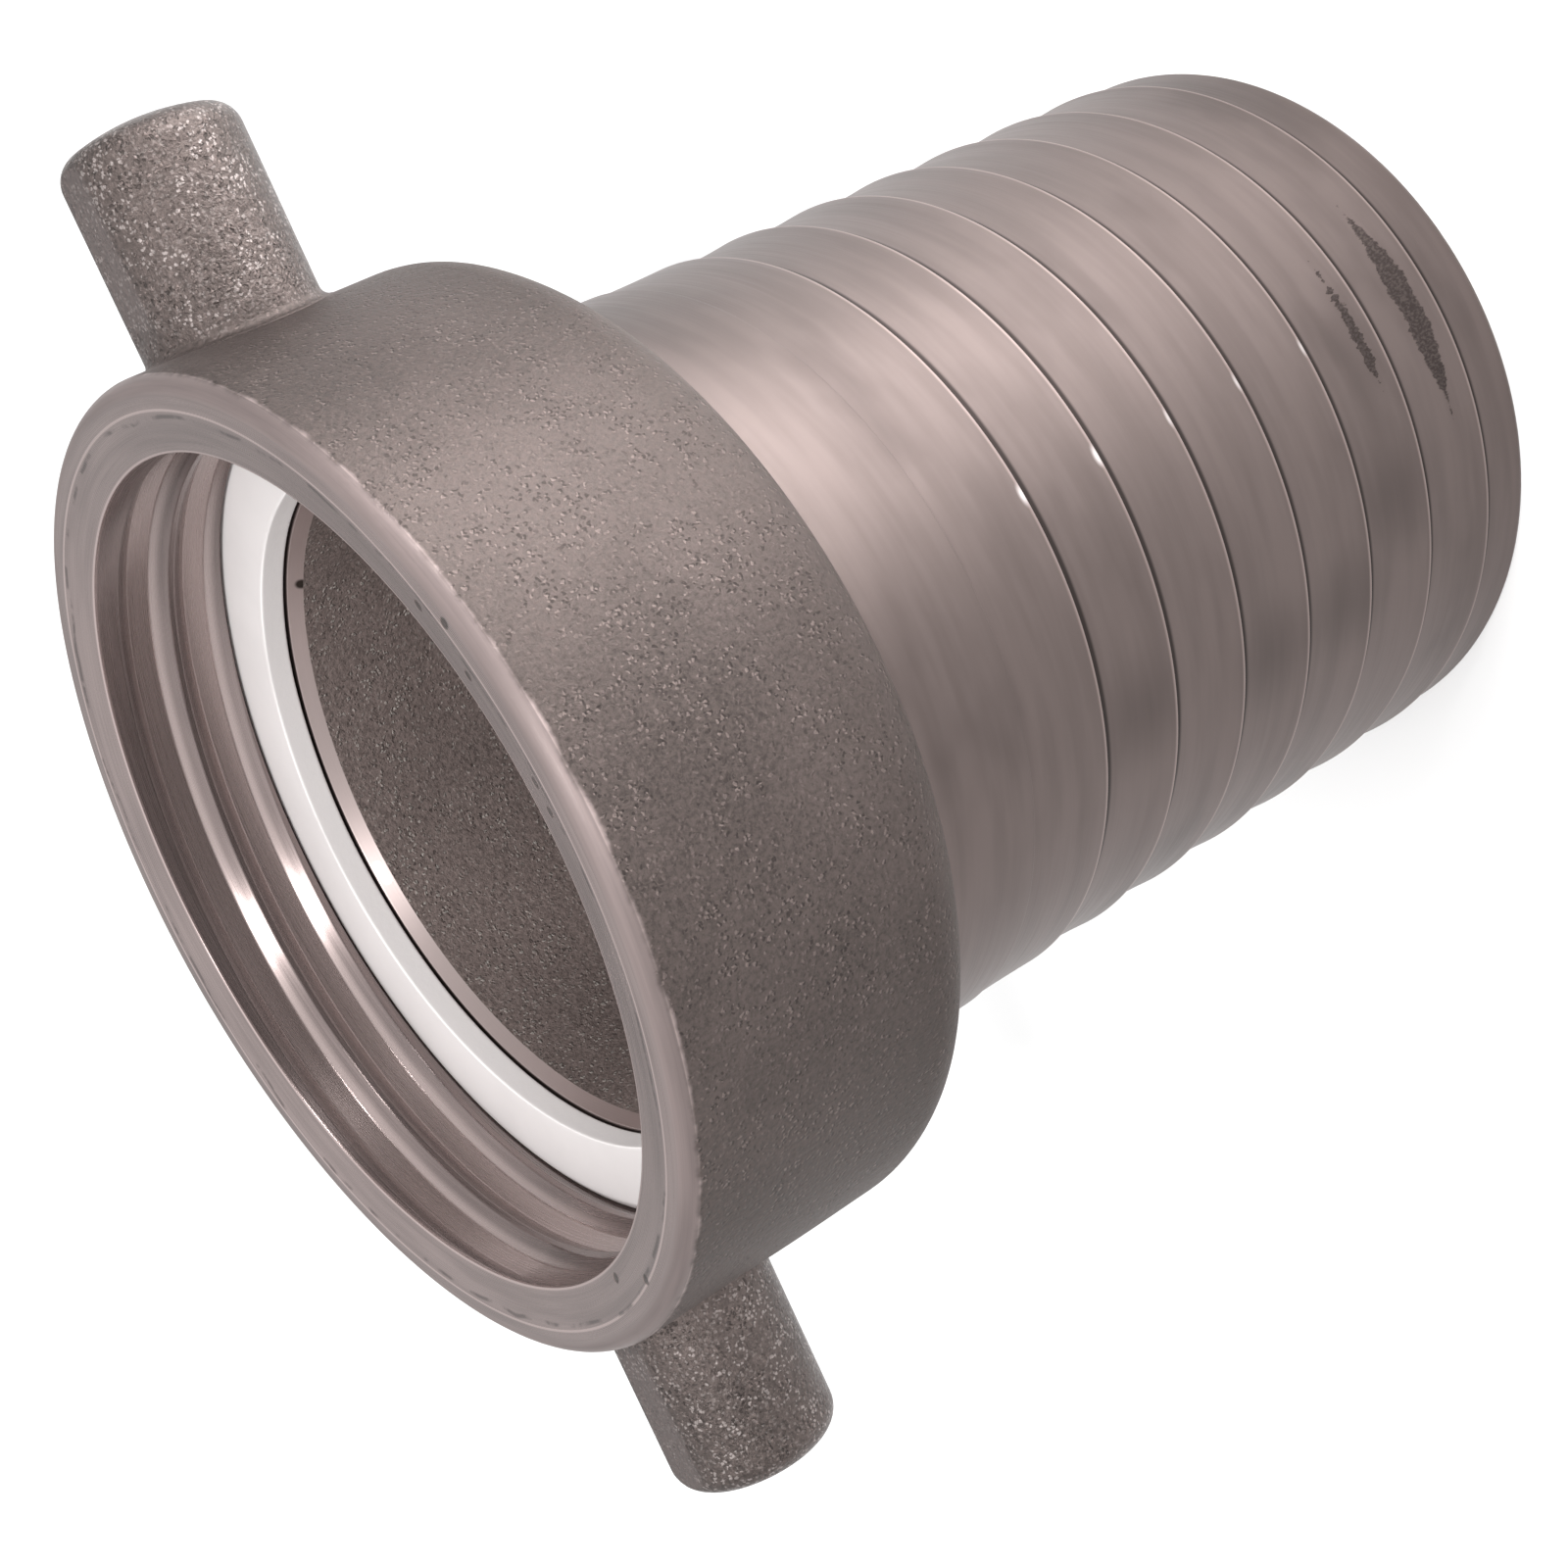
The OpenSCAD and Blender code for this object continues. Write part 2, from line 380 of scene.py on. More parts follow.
    def spots(self, places, size, core=0.5, flat=1.0):
        """1 inside small spots at the given places (in mm), flattened along Z, 0 outside them."""
        total = 0.0
        squeezed = self.scaled(self.place, (1.0, 1.0, flat))
        for x, y, z in places:
            point = (x * MM, y * MM, z * flat * MM)
            gap = self.vector("DISTANCE", squeezed, point, output="Value")
            total = self.most(self.below(gap, size * core, size * (1 - core)), total)
        return total

    def grains(self, vector, scale, share, kept):
        """1 on round grains: one in each kept cell of a bent grid, share of a cell in size."""
        waves = self.noise(vector, scale * 1.3, 0.0).node.outputs["Color"]
        bent = self.vector("ADD", vector, self.scaled(waves, (0.9 / scale,) * 3))
        cells = self.node("ShaderNodeTexVoronoi", {"Vector": bent, "Scale": scale}, "Distance")
        chance = self.node("ShaderNodeSeparateColor", {0: cells.node.outputs["Color"]})
        grain = self.between(cells, share * 0.6, share, 1.0, 0.0)
        return self.times(grain, self.between(chance, kept, kept + 0.1, 1.0, 0.0))


def cast_layer(f, light, dark, highlight_share=0.26):
    """Colour, roughness and height (mm) of the sand-cast skin: grain, painted grain highlights and
    shade, and cloudy tone.

    The bright specks are painted highlights on the grains. The dark spots beside them are the same
    grains shifted to one side, and are their painted shade, so that they pair up like the lit and
    shaded sides of a real grain.
    """
    grain = f.noise(f.place, 2500, 3, 0.7)
    coarse = f.noise(f.place, 900, 2, 0.55)
    cloud = f.noise(f.place, 45, 3, 0.5)
    tone = f.blend(0.3, f.between(grain, 0.3, 0.7), f.between(cloud, 0.35, 0.65))
    patchy = f.between(f.noise(f.place, 260, 2, 0.6), 0.4, 0.6, 0.35, 1.0)
    # Painted highlights on the lit sides of the grains
    grain_highlight = f.times(f.grains(f.place, 2300, 0.44, 0.36), patchy)
    # Painted shade: the same grains shifted to one side, as their shaded sides
    beside = f.vector("ADD", f.place, (0.0, -0.1 * MM, 0.17 * MM))
    dark_spot = f.times(f.grains(beside, 2300, 0.5, 0.46), patchy)
    colour = f.mix(f.times(dark_spot, 0.6), f.mix(tone, dark, light), shade(dark, 0.35))
    colour = f.mix(f.times(grain_highlight, highlight_share), colour, shade(light, 3.2))
    height = f.plus(f.times(f.centred(grain), 0.06), f.times(f.centred(coarse), 0.07))
    height = f.plus(height, f.times(f.minus(grain_highlight, dark_spot), 0.025))
    return colour, f.between(grain, 0.3, 0.7, 0.52, 0.7), height


def turned_layer(f, light, dark, fineness=9.0, line_share=0.4):
    """Colour, line pattern and height (mm) of a turned face: fine lines and slow bands."""
    fine = f.noise(f.lines(fineness), 1.0, 3, 0.7)
    slow = f.noise(f.lines(fineness / 14, 0.02), 1.0, 2, 0.6)
    tone = f.blend(line_share, f.between(slow, 0.3, 0.7), f.between(fine, 0.3, 0.7))
    return f.mix(tone, dark, light), fine, f.times(f.centred(fine), 0.006)


def cap_finish(sizes, look):
    """Cast outside; turned on the rim and inside the mouth, with a slightly ragged edge between."""
    f = Finish("cap_metal")
    rim, crest = sizes.wall_radius, sizes.crest_radius
    r, reach = f.radius(), f.math("ABSOLUTE", f.x)
    cast, cast_rough, cast_height = cast_layer(f, look.cast_light, look.cast_dark)
    turned, fine, turned_height = turned_layer(f, look.turned_light, look.turned_dark)

    # Darker towards the back, with a coarser skin and painted glints on the lugs, and a rubbed flat
    on_lug = f.above(reach, rim - 0.6, 3.0)
    patchy = f.between(f.noise(f.place, 320, 1), 0.42, 0.58, 0.3, 1.0)
    lug_glints = f.times(f.grains(f.place, 2600, 0.5, 0.5), on_lug, patchy)
    lug_top = f.times(f.above(f.z, MOUTH_Z - 6), f.above(reach, rim + 2.4, 2.0))
    cast = f.mix(f.times(f.below(f.z, MOUTH_Z - 28, 10.0), 0.28), cast, look.cast_dark)
    # Painted glints on the lugs' grains
    cast = f.mix(f.times(lug_glints, 0.4), cast, LUG_GLINT_TONE)
    cast = f.mix(f.times(lug_top, 0.6), cast, turned)
    cast_height = f.times(cast_height, f.math("MULTIPLY_ADD", on_lug, 1.6, 1.0))
    cast_rough = f.math("MULTIPLY_ADD", on_lug, -0.2, cast_rough)

    # Painted light in the thread groove, painted highlights along the edges of the rim's slope, and
    # a ring of dirt
    groove_painted_light = f.times(f.above(r, crest + 0.4, 0.5), f.below(f.z, MOUTH_Z - 1.1))
    turned = f.mix(f.times(groove_painted_light, 0.8), turned, GROOVE_PAINTED_LIGHT_TONE)
    # Painted highlights: bright lines along both edges of the rim's slope
    slope_edge = f.times(f.near(r, rim - 2.78, 0.07, 0.17), f.above(f.z, MOUTH_Z - 0.6))
    bore_edge = f.times(f.near(r, crest + 0.1, 0.08, 0.18), f.near(f.z, MOUTH_Z - 0.8, 0.2, 0.3))
    painted_edge_highlight = f.times(f.most(slope_edge, bore_edge), 0.6)
    turned = f.mix(painted_edge_highlight, turned, shade(look.turned_light, 1.9))
    dirt = f.between(f.noise(f.place, 240, 3, 0.6), 0.46, 0.58)
    wander = f.times(f.centred(f.noise(f.place, 110, 2)), 2.0 * MM)
    ring = f.near(f.plus(r, wander), rim - 3.25, 0.07, 0.27)
    ring = f.times(ring, dirt, f.above(f.z, MOUTH_Z - 0.7))
    turned = f.mix(f.times(ring, 0.65), turned, shade(look.turned_dark, 0.3))
    worn_outer = f.times(f.above(r, rim - 1.8, 0.8), 0.22)
    turned_rough = f.plus(f.between(fine, 0.3, 0.7, 0.24, 0.32), worn_outer)

    ragged = f.times(f.centred(f.noise(f.place, 300, 3, 0.6)), 1.3 * MM)
    on_edge = f.above(f.plus(f.z, ragged), MOUTH_Z - 1.4, 0.6)
    inside = f.times(f.below(r, rim - 0.8, 0.2), f.above(f.z, SHOULDER_Z - 0.6, 0.4))
    machined = f.most(inside, on_edge, f.below(r, HOLE_R + 0.25))
    dark_spot = f.spots(RIM_PITS, 0.55)
    colour = f.mix(f.times(dark_spot, 0.8), f.mix(machined, cast, turned), PIT_TONE)
    f.bump(f.minus(f.blend(machined, cast_height, turned_height), f.times(dark_spot, 0.15)))
    f.turned_gloss(0.6)
    return f.finish(colour, f.blend(machined, cast_rough, turned_rough), 0.8)


def scuff_mask(f):
    """1 inside the scuffs: lens outlines, 1 - u^2 - v, broken by short strokes along the axis."""
    angle = f.math("ARCTAN2", f.y, f.x)
    strokes = f.noise(f.scaled(f.place, (1.0, 1.0, 0.3)), 2300, 3, 0.6)
    broken = f.plus(f.centred(strokes), f.centred(f.noise(f.place, 420, 2)))
    total = 0.0
    for middle, half, turn, half_turn, open_share, ragged in TAIL_SCUFFS:
        v = f.math("ABSOLUTE", f.math("DIVIDE", f.minus(f.z, middle * MM), half * MM))
        u = f.math("DIVIDE", f.minus(angle, np.radians(turn)), np.radians(half_turn))
        lens = f.minus(f.minus(1.0, f.times(u, u)), v)
        lens = f.plus(lens, f.times(broken, ragged))
        total = f.most(f.between(lens, open_share, open_share + 0.16), total)
    mottle = f.noise(f.scaled(f.place, (1.0, 1.0, 0.6)), 4200, 2, 0.6)
    return f.times(total, f.between(mottle, 0.35, 0.6, 0.6, 1.0))


def tail_finish(look):
    """Turned bands, collar and flange, with painted shade below the crests, worn crest edges with
    painted highlights, painted shade patches, a nick, painted glints and glare, and dark scuffs.
    """
    f = Finish("tail_metal")
    dark = look.tail_dark
    colour, fine, height = turned_layer(f, look.tail_light, dark, 6.0, 0.25)
    stain = f.noise(f.scaled(f.place, (1.0, 1.0, 1.8)), 42, 3, 0.55)
    colour = f.mix(f.between(stain, 0.5, 0.72, 0.0, 0.45), colour, shade(dark, 0.6))
    # Painted shade in soft patches on the tail's darker side
    colour = f.mix(f.times(f.spots(TAIL_SHADE_PATCHES, 8.0, 0.0), 0.5), colour, shade(dark, 0.55))

    # How far along its band a point is, from 0 at a crest to 1 below the next one
    phase = f.math("FRACT", f.math("DIVIDE", f.minus(f.z, (END_BAND - BAND) * MM), BAND * MM))
    on_bands = f.below(f.z, RIDGE_Z - 1.8)
    # Painted shadow in the corner below each crest, at the foot of its step
    corner = f.times(f.between(phase, 0.87, 0.915), on_bands)
    # Worn crest edges, lightened by a painted highlight just above each crest
    worn_crest_highlight = f.times(f.between(phase, 0.008, 0.042, 1.0, 0.0), on_bands)
    colour = f.mix(f.times(corner, 0.9), colour, shade(dark, 0.2))
    colour = f.mix(f.times(worn_crest_highlight, 0.7), colour, shade(look.tail_light, 2.2))

    scuff = f.times(scuff_mask(f), 0.88)
    colour = f.mix(scuff, colour, shade(dark, 0.3))
    lip = f.times(f.above(f.z, TAIL_TOP - 1.7, 0.2), f.below(f.radius(), WAY_R + 0.85))
    colour = f.mix(lip, colour, look.lip_colour)
    # The nick, with the painted glare and the painted glints
    for places, tone, size, core, flat in TAIL_NICK_GLARE_AND_GLINTS:
        colour = f.mix(f.spots(places, size, core, flat), colour, tone)
    f.bump(height)
    f.turned_gloss(0.55)
    return f.finish(colour, f.plus(f.between(fine, 0.3, 0.7, 0.38, 0.46), f.times(scuff, 0.2)))


def waterway_finish(look):
    """Cast skin of the waterway: the cap's grain, rougher, in tones lightened by painted light, and
    with more painted grain highlights.
    """
    f = Finish("waterway_metal")
    colour, rough, height = cast_layer(f, look.painted_lit_bore_light, look.painted_lit_bore_dark, 0.42)
    f.bump(f.times(height, 1.8))
    return f.finish(colour, f.plus(rough, 0.08), 0.5)


def washer_finish(look):
    """Off-white rubber with a faint grain, a few slightly darker patches, and painted light on its
    cut inner edge.
    """
    f = Finish("washer_rubber")
    cloud = f.noise(f.place, 90, 3, 0.6)
    grain = f.noise(f.place, 1800, 2)
    plain = look.washer_colour
    colour = f.mix(f.between(cloud, 0.35, 0.7), plain, shade(plain, 0.96))
    # Painted light on the cut inner edge, which lies in shade
    colour = f.mix(f.below(f.radius(), WASHER_IN_R + 0.05), colour, look.washer_edge_painted_light)
    f.bump(f.times(grain, 0.02))
    f.shader.inputs["Specular IOR Level"].default_value = 0.1
    return f.finish(colour, f.between(grain, 0.3, 0.7, 0.7, 0.8), 0.0)


def stage_finish(look):
    """Matt pale paint with a barely visible cloudy tone."""
    f = Finish("stage_paint")
    plain = look.floor_colour
    return f.finish(f.mix(f.noise(f.place, 3, 1), plain, shade(plain, 0.995)), 0.9, 0.0)


# Settings that a user would change


class COUPLING_PG_sizes(bpy.types.PropertyGroup):
    """Sizes of the coupling's surfaces"""

    wall_radius: bpy.props.FloatProperty(
        name="Rim Radius", description="Radius of the cap at its rim, in mm",
        default=46.6, min=40, max=60,
    )
    crest_radius: bpy.props.FloatProperty(
        name="Crest Radius", description="Radius of the thread crests, in mm",
        default=39.9, min=30, max=50,
    )
    thread_pitch: bpy.props.FloatProperty(
        name="Thread Pitch", description="Distance between two turns, in mm",
        default=6.1, min=4, max=8,
    )
    thread_depth: bpy.props.FloatProperty(
        name="Thread Depth", description="Depth of the thread groove, in mm",
        default=1.1, min=0.5, max=2,
    )
    lug_radius: bpy.props.FloatProperty(
        name="Lug Radius", description="Radius of a lug, in mm",
        default=8.25, min=5, max=9,
    )
    columns: bpy.props.IntProperty(
        name="Columns", description="Points round each turned surface",
        default=384, min=96, max=512,
    )


class COUPLING_PG_looks(bpy.types.PropertyGroup):
    """Colours of the coupling and the floor"""

    cast_light: bpy.props.FloatVectorProperty(
        name="Cast Light", description="Light tone of the cast skin",
        subtype="COLOR", default=(0.147, 0.117, 0.109), min=0, max=1,
    )
    cast_dark: bpy.props.FloatVectorProperty(
        name="Cast Dark", description="Dark tone of the cast skin",
        subtype="COLOR", default=(0.059, 0.048, 0.044), min=0, max=1,
    )
    turned_light: bpy.props.FloatVectorProperty(
        name="Turned Light", description="Light tone of the turned cap",
        subtype="COLOR", default=(0.303, 0.244, 0.235), min=0, max=1,
    )
    turned_dark: bpy.props.FloatVectorProperty(
        name="Turned Dark", description="Dark tone of the turned cap",
        subtype="COLOR", default=(0.205, 0.166, 0.160), min=0, max=1,
    )
    tail_light: bpy.props.FloatVectorProperty(
        name="Tail Light", description="Light tone of the turned tail",
        subtype="COLOR", default=(0.158, 0.126, 0.119), min=0, max=1,
    )
    tail_dark: bpy.props.FloatVectorProperty(
        name="Tail Dark", description="Dark tone of the turned tail",
        subtype="COLOR", default=(0.129, 0.103, 0.097), min=0, max=1,
    )
    # Both waterway tones are lightened with painted light, which stands in for light through the
    # open hose end
    painted_lit_bore_light: bpy.props.FloatVectorProperty(
        name="Bore Light", description="Light tone of the cast waterway",
        subtype="COLOR", default=(0.371, 0.298, 0.278), min=0, max=1,
    )
    painted_lit_bore_dark: bpy.props.FloatVectorProperty(
        name="Bore Dark", description="Dark tone of the cast waterway",
        subtype="COLOR", default=(0.170, 0.136, 0.125), min=0, max=1,
    )
    lip_colour: bpy.props.FloatVectorProperty(
        name="Lip", description="Colour of the turned bevel in the waterway",
        subtype="COLOR", default=(0.50, 0.415, 0.40), min=0, max=1,
    )
    # The cut inner edge is lightened with painted light, since it stands in shade
    washer_edge_painted_light: bpy.props.FloatVectorProperty(
        name="Washer Edge", description="Colour of the washer's cut inner edge",
        subtype="COLOR", default=(0.97, 0.93, 0.92), min=0, max=1,
    )
    washer_colour: bpy.props.FloatVectorProperty(
        name="Washer", description="Colour of the washer",
        subtype="COLOR", default=(0.744, 0.708, 0.702), min=0, max=1,
    )
    floor_colour: bpy.props.FloatVectorProperty(
        name="Floor", description="Colour of the floor",
        subtype="COLOR", default=(0.9, 0.9, 0.9), min=0, max=1,
    )


# Pieces


def thread_depth(z, t, sizes):
    """Depth of the thread groove at a height and an angle in the mouth.

    The groove's middle climbs one pitch a turn. Its depth falls with the axial distance
    from that middle, as a trapezium, and less of it is left over its last sixth of a turn.
    """
    half = (sizes.thread_pitch - CREST_FLAT) / 2
    depth = np.zeros_like(z)
    for k in range(-4, 2):
        left = THREAD_END - (t + 2 * np.pi * k)
        middle = MOUTH_Z - half - sizes.thread_pitch * left / (2 * np.pi)
        fade = FADE_DEPTH * np.clip(1 - left / THREAD_FADE, 0, 1)
        here = sizes.thread_depth * np.minimum((half - np.abs(z - middle)) / FLANK, 1) - fade
        depth = np.maximum(depth, np.where(left > 0, here, 0))
    return depth


def cap_rows(sizes):
    """Profile of the cap from the hole in its back, round the outside, to the shoulder.

    The edge at the back and the outer edge of the rim are arcs that touch the sloping cast
    wall, whose radius grows downwards by the tangent of the draft.
    """
    rim, crest = sizes.wall_radius, sizes.crest_radius
    groove, hole_z = crest + GROOVE_DEPTH, BACK_Z + 4

    def edge(r, z, a, b, n):
        a = np.linspace(a, b, n)
        middle = rim + (MOUTH_Z - z) * np.tan(DRAFT) - r / np.cos(DRAFT)
        return np.stack([middle + r * np.cos(a), z + r * np.sin(a)], 1)

    back = rounded(
        [[HOLE_R, hole_z], [HOLE_R, BACK_Z + HOLE_BEVEL], [HOLE_R + HOLE_BEVEL, BACK_Z],
         [HOLE_R + 2, BACK_Z]],
        [0.15, 0.15],
    )
    outside = np.concatenate([
        edge(BACK_ROUND, BACK_Z + BACK_ROUND, -np.pi / 2, DRAFT, 22),
        edge(RIM_ROUND, MOUTH_Z - RIM_ROUND, DRAFT, np.pi / 2, 12),
    ])
    inside = rounded(
        [[rim - RIM_ROUND - RIM_LAND / 2, MOUTH_Z], [rim - RIM_ROUND - RIM_LAND, MOUTH_Z],
         [crest, MOUTH_Z - RIM_SLOPE], [crest, GROOVE_TOP], [groove, GROOVE_TOP],
         [groove, SHOULDER_Z], [HOLE_R, SHOULDER_Z], [HOLE_R, hole_z]],
        [0.12, 0.12, 0.1, 0.15, 0.3, 0.12],
    )
    mouth = (inside[:, 0] < crest + 0.01) & (inside[:, 1] > GROOVE_TOP + 0.2)
    first, last = np.flatnonzero(mouth)[[0, -1]]
    # The thread needs close rows, the plain outside doesn't
    wall, outside = filled(inside[first : last + 1], 0.11), filled(outside, 1.6)
    return np.concatenate([back[:-1], outside, inside[:first], wall, inside[last + 1 : -1]])


def lug_surface(sizes, side, columns=96, straight_rows=29):
    """Points of one lug, standing on the cap's wall, with both ends closed by a fan.

    Round the lug's axis by angle a, a point lies at distance q from the axis: q falls along
    a quarter circle in the fillet, keeps the lug's radius, then follows the tip's edge and
    its dome. Along the axis, the rows near the foot follow the round wall of the cap, and
    the others lie straight across. The foot's end is hidden inside the wall.
    """
    radius, rim = sizes.lug_radius, sizes.wall_radius
    a = np.arange(columns) / columns * 2 * np.pi
    s = np.linspace(0, 1, 12)
    straight = np.linspace(0, 1, straight_rows + 2)[1:-1]
    edge_x = np.sqrt((LUG_DOME_R - LUG_EDGE_R) ** 2 - (radius - LUG_EDGE_R) ** 2)
    turn = np.arctan2(edge_x, radius - LUG_EDGE_R)
    edge_a = np.linspace(0, turn, 10)
    dome_a = np.linspace(turn, np.pi / 2, 12)[1:-1]
    start, end = rim + LUG_FILLET, LUG_TIP - LUG_DOME_R + edge_x

    q = np.concatenate([
        radius + LUG_FILLET * (1 - np.sqrt(1 - (1 - s) ** 2)),
        np.full(len(straight), radius),
        radius - LUG_EDGE_R + LUG_EDGE_R * np.cos(edge_a),
        LUG_DOME_R * np.cos(dome_a),
    ])[:, None]
    # Distance of each row from the cap's axis; the fillet's rows are counted from its wall
    x = np.concatenate([
        LUG_FILLET * s,
        start + (end - start) * straight,
        end + LUG_EDGE_R * np.sin(edge_a),
        LUG_TIP - LUG_DOME_R + LUG_DOME_R * np.sin(dome_a),
    ])[:, None]
    in_fillet = np.arange(len(q))[:, None] < len(s)

    y, z = q * np.sin(a), LUG_Z + q * np.cos(a)
    flat = LUG_Z + radius - LUG_FLAT
    flattened = np.where(in_fillet, 0, np.clip((x - start) / 2, 0, 1))
    z = np.where(z > flat, z + (flat - z) * flattened, z)
    on_wall = np.sqrt((rim + (MOUTH_Z - z) * np.tan(DRAFT)) ** 2 - y**2)
    share = np.clip((np.arange(len(q)) - len(s) + 1) / len(straight), 0, 1)[:, None]
    bent = x + (on_wall + LUG_FILLET - start) * (1 - share) ** 2
    rings = np.stack([np.where(in_fillet, on_wall + x, bent), y, z], -1)

    hidden = rings[:1] - np.array([0.8, 0, 0])
    middles = np.array([[LUG_TIP, 0, LUG_Z], [rim - 2, 0, LUG_Z]])
    points = np.concatenate([hidden.reshape(-1, 3), rings.reshape(-1, 3), middles])
    points[:, :2] *= side
    count = len(rings) + 1
    quads = ring_faces(count, columns, closed_rows=False)[:, ::-1]
    foot = np.arange(columns)
    tip = foot + (count - 1) * columns
    tip_fan = np.stack([np.roll(tip, -1), tip, np.full(columns, count * columns)], 1)
    foot_fan = np.stack([foot, np.roll(foot, -1), np.full(columns, count * columns + 1)], 1)
    return points, quads, np.concatenate([tip_fan, foot_fan])


class COUPLING_OT_cap(bpy.types.Operator):
    """Builds the cap: cast wall, turned rim, thread, washer groove and both lugs"""

    bl_idname = "coupling.cap"
    bl_label = "Build Cap"

    def execute(self, context):
        sizes, look = context.scene.coupling_sizes, context.scene.coupling_looks
        rim, crest = sizes.wall_radius, sizes.crest_radius
        rows = cap_rows(sizes)

        def radius_at(r, z, t):
            """The thread's depth is added in the mouth, the cast unevenness on the wall."""
            cast = np.clip((r - rim + 1.2) / 1.2, 0, 1) * np.clip((MOUTH_Z - 1 - z) / 3, 0, 1)
            mouth = (r < crest + GROOVE_DEPTH) & (z > GROOVE_TOP - 0.2)
            share = 1 - (r - crest) / GROOVE_DEPTH
            r = r + np.where(mouth, thread_depth(z, t, sizes) * share, 0)
            return r + cast * ripple(t, z, 5, 0.12)

        points, along = revolved(rows, sizes.columns, radius_at)
        quads = ring_faces(len(rows), sizes.columns)
        triangles = []
        for side in (1, -1):
            more, lug_quads, fans = lug_surface(sizes, side)
            quads = np.concatenate([quads, lug_quads + len(points)])
            triangles.append(fans + len(points))
            along = np.concatenate([along, np.zeros(len(more))])
            points = np.concatenate([points, more])
        triangles, finish = np.concatenate(triangles), cap_finish(sizes, look)
        piece = new_piece("cap_surface", points, quads, along, [finish], triangles=triangles)
        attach(piece, "cap")
        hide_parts("cap")
        return {"FINISHED"}


def tail_rows():
    """Profile of the tail from its hose end, up the outside, and back down the waterway.

    Each band narrows upwards from its crest: its radius is the foot's plus its step times
    the square of what is left of its length above the point.
    """
    foot = BAND_R - BAND_STEP
    end_middle = [(WAY_R + foot) / 2, 0]
    s = np.linspace(0, 1, 9)

    def band(z0, z1, r, step):
        z = z0 + (z1 - z0) * s
        return np.stack([r + step * np.minimum((z1 - z) / BAND, 1) ** 2, z], 1)

    crests = END_BAND + BAND * np.arange(BANDS)
    stack = [[end_middle, [foot + 0.1, 0]], band(END_CHAMFER, END_BAND, foot, BAND_STEP)]
    stack += [band(z, z + BAND, foot, BAND_STEP) for z in crests[:-1]]
    stack += [
        band(crests[-1], RIDGE_Z, BAND_R - RIDGE_STEP, RIDGE_STEP),
        [[BAND_R, RIDGE_Z], [BAND_R, NECK_Z], [BAND_R + NECK_RISE, FLANGE_Z]],
        [[FLANGE_R, FLANGE_Z], [FLANGE_R, TAIL_TOP], [WAY_R + LIP_WIDTH, TAIL_TOP]],
        [[WAY_R, TAIL_TOP - LIP_DEPTH], [WAY_R, END_CHAMFER], [WAY_R + END_CHAMFER, 0], end_middle],
    ]
    profile = np.concatenate([np.array(part, float) for part in stack])
    apart = np.linalg.norm(np.diff(profile, axis=0), axis=1) > 1e-6
    profile = profile[np.concatenate([[True], apart])]
    profile = rounded(profile, np.full(len(profile) - 2, 0.07), steps=3, guard=0.08)
    return filled(profile[:-1], 3.0)


class COUPLING_OT_tail(bpy.types.Operator):
    """Builds the hose tail: bands, collar, flange and waterway"""

    bl_idname = "coupling.tail"
    bl_label = "Build Hose Tail"

    def execute(self, context):
        sizes, look = context.scene.coupling_sizes, context.scene.coupling_looks
        rows = tail_rows()

        def radius_at(r, z, t):
            """The cast unevenness is added in the waterway, between its two ends."""
            bore = (r < WAY_R + 0.15) & (z > 1) & (z < TAIL_TOP - 2.1)
            return r + np.where(bore, ripple(t, z, 11, 0.1), 0)

        points, along = revolved(rows, sizes.columns, radius_at)
        quads = ring_faces(len(rows), sizes.columns)
        in_waterway = rows[:, 0] < WAY_R + 0.01
        in_waterway &= np.roll(in_waterway, -1)
        slots = np.repeat(in_waterway.astype(int), sizes.columns)
        finishes = [tail_finish(look), waterway_finish(look)]
        piece = new_piece("hose_tail_surface", points, quads, along, finishes, slots=slots)
        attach(piece, "tail")
        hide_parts("hose_tail")
        return {"FINISHED"}


class COUPLING_OT_washer(bpy.types.Operator):
    """Builds the flat washer with softly rounded edges"""

    bl_idname = "coupling.washer"
    bl_label = "Build Washer"

    def execute(self, context):
        sizes, look = context.scene.coupling_sizes, context.scene.coupling_looks
        bottom, (outer, _, top) = low("sealing_washer")[2], high("sealing_washer")
        inner_middle = [WASHER_IN_R, (bottom + top) / 2]
        corners = [
            inner_middle, [WASHER_IN_R, bottom], [outer, bottom],
            [outer, top], [WASHER_IN_R, top], inner_middle,
        ]
        rows = filled(rounded(corners, [0.25] * 4)[:-1], 1.2)

        def radius_at(r, z, t):
            """The cut inner edge is slightly out of round, alike over its whole height."""
            return r + ripple(t, z * 0, 3, 0.08) * (r < WASHER_IN_R + 0.5)

        points, along = revolved(rows, sizes.columns, radius_at)
        quads = ring_faces(len(rows), sizes.columns)
        piece = new_piece("washer_surface", points, quads, along, [washer_finish(look)])
        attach(piece, "cap")
        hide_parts("sealing_washer")
        return {"FINISHED"}


# Stage, in metres


def stage_floor(look, half=9.0, n=9):
    """A flat square grid of n by n points at height 0, half to each side of the axis."""
    x, y = np.meshgrid(*[np.linspace(-half, half, n)] * 2)
    points = np.stack([x, y, np.zeros_like(x)], -1).reshape(-1, 3) / MM
    i, j = np.meshgrid(np.arange(n - 1), np.arange(n - 1), indexing="ij")
    corner = i * n + j
    quads = np.stack([corner, corner + 1, corner + n + 1, corner + n], -1).reshape(-1, 4)
    return new_piece("studio_floor", points, quads, np.zeros(len(points)), [stage_finish(look)])


def aim(name, data, place, target):
    """Puts a light at a place, turned to its target."""
    light = bpy.data.objects.new(name, data)
    light.location = place
    light.rotation_euler = (Vector(target) - Vector(place)).to_track_quat("-Z", "Y").to_euler()
    bpy.context.scene.collection.objects.link(light)


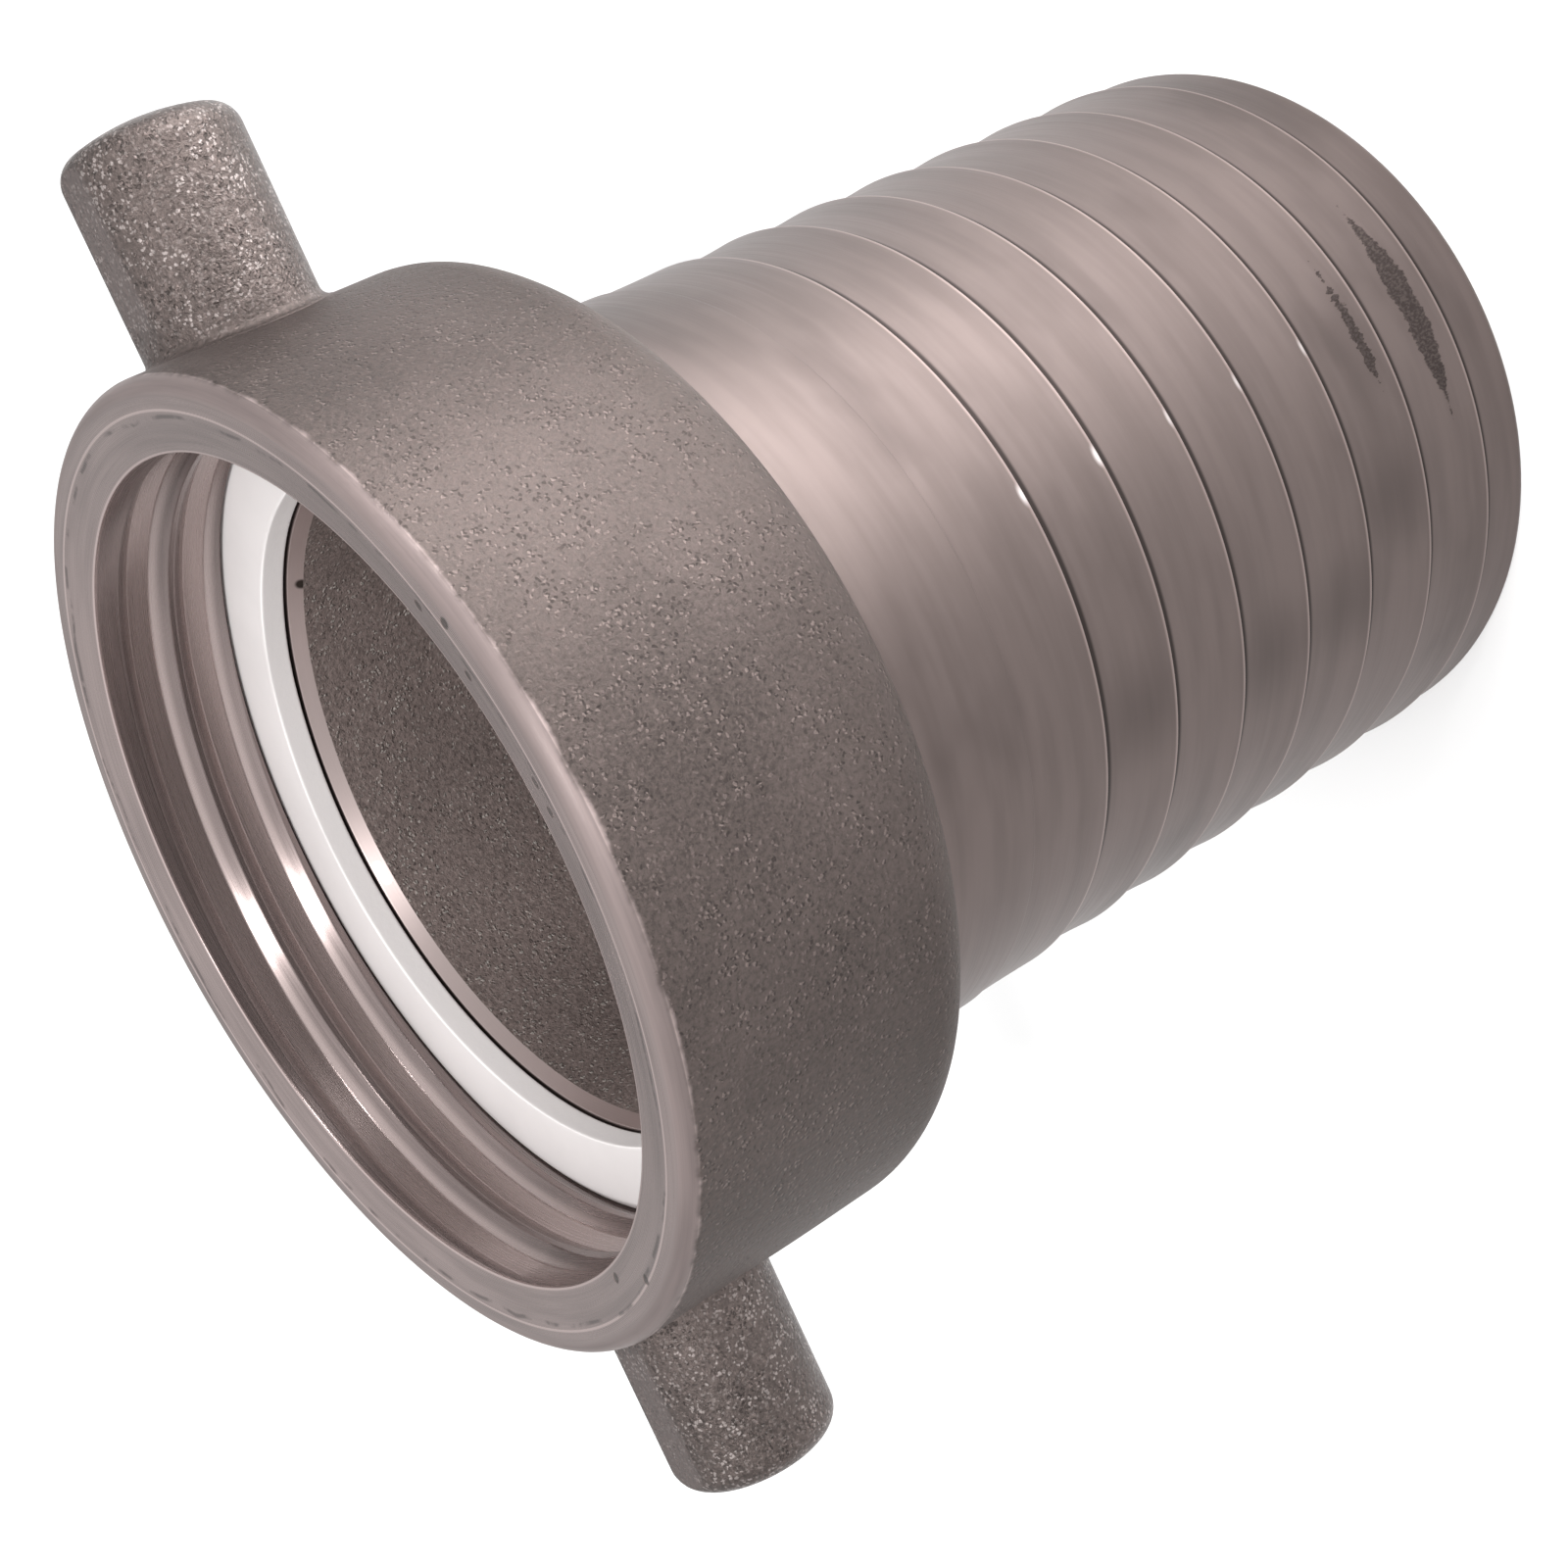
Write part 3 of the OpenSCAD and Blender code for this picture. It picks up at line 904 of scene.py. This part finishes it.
def lamp(name, place, target, size, power):
    """A soft round lamp."""
    data = bpy.data.lights.new(name, "AREA")
    data.shape, data.size, data.energy = "DISK", size, power
    aim(name, data, place, target)


def glow(name, place, target, power):
    """A soft spot of light on the floor, which the turned faces mirror."""
    data = bpy.data.lights.new(name, "SPOT")
    data.energy, data.spot_size, data.spot_blend = power, np.radians(32), 0.8
    data.shadow_soft_size = 0.06
    aim(name, data, place, target)


def studio_sky(horizon=0.375, zenith=1.5):
    """White light from all sides, which grows with height from the horizon's strength."""
    world = bpy.data.worlds.new("studio_sky")
    world.use_nodes = True
    sky, nodes = world.node_tree, world.node_tree.nodes
    direction = nodes.new("ShaderNodeTexCoord")
    split = nodes.new("ShaderNodeSeparateXYZ")
    rise = nodes.new("ShaderNodeMapRange")
    limits = {"From Min": 0.0, "From Max": 0.95, "To Min": horizon, "To Max": zenith}
    for key, value in limits.items():
        rise.inputs[key].default_value = value
    sky.links.new(direction.outputs["Generated"], split.inputs[0])
    sky.links.new(split.outputs["Z"], rise.inputs["Value"])
    sky.links.new(rise.outputs[0], nodes["Background"].inputs["Strength"])
    nodes["Background"].inputs["Color"].default_value = (1.0, 1.0, 1.0, 1)
    return world


def photo_camera():
    """The camera at the photograph's place and angle."""
    lens = bpy.data.cameras.new("photo_camera")
    lens.sensor_width, lens.lens, lens.clip_start = 36.0, 57.88, 0.01
    camera = bpy.data.objects.new("photo_camera", lens)
    right = Vector((-0.40204, -0.54320, -0.73709))
    back = Vector((0.16108, -0.83442, 0.52707))
    turn = Matrix((right, back.cross(right), back)).transposed().to_4x4()
    camera.matrix_world = Matrix.Translation((0.02799, -0.20413, 0.20269)) @ turn
    bpy.context.scene.collection.objects.link(camera)
    return camera


class COUPLING_OT_stage(bpy.types.Operator):
    """Builds the floor, the soft lights, the sky and the camera"""

    bl_idname = "coupling.stage"
    bl_label = "Build Stage"

    def execute(self, context):
        scene = context.scene
        floor = stage_floor(scene.coupling_looks)
        lamp("side_softbox", (1.9, -1.1, 0.32), (0, 0, 0.1), 0.6, 21)
        lamp("overhead_lamp", (0.2, -1.256, 1.62), (0, 0, 0.07), 0.2, 16)
        glow("floor_glow", (0.56, -0.62, 0.55), (0.275, -0.255, 0), 310)
        glow("side_floor_glow", (0.82, -0.12, 0.55), (0.38, -0.04, 0), 16)
        scene.world = studio_sky()
        scene.camera = photo_camera()
        scene.view_settings.view_transform = "Standard"
        return {"FINISHED"}


class COUPLING_PT_panel(bpy.types.Panel):
    """Lists the sizes, the colours and the operators"""

    bl_label = "Hose Coupling"
    bl_idname = "COUPLING_PT_panel"
    bl_space_type = "VIEW_3D"
    bl_region_type = "UI"
    bl_category = "Coupling"

    def draw(self, context):
        column = self.layout.column()
        for group in (context.scene.coupling_sizes, context.scene.coupling_looks):
            for name in group.bl_rna.properties.keys():
                if name not in ("rna_type", "name"):
                    column.prop(group, name)
        for operator in OPERATORS:
            column.operator(operator.bl_idname)


OPERATORS = (COUPLING_OT_cap, COUPLING_OT_tail, COUPLING_OT_washer, COUPLING_OT_stage)
CLASSES = (COUPLING_PG_sizes, COUPLING_PG_looks, *OPERATORS, COUPLING_PT_panel)


def register():
    for each in CLASSES:
        bpy.utils.register_class(each)
    bpy.types.Scene.coupling_sizes = bpy.props.PointerProperty(type=COUPLING_PG_sizes)
    bpy.types.Scene.coupling_looks = bpy.props.PointerProperty(type=COUPLING_PG_looks)


def unregister():
    del bpy.types.Scene.coupling_looks
    del bpy.types.Scene.coupling_sizes
    for each in reversed(CLASSES):
        bpy.utils.unregister_class(each)


def main():
    register()
    bpy.ops.coupling.stage()
    bpy.ops.coupling.tail()
    bpy.ops.coupling.washer()
    bpy.ops.coupling.cap()


if __name__ == "__main__":
    main()
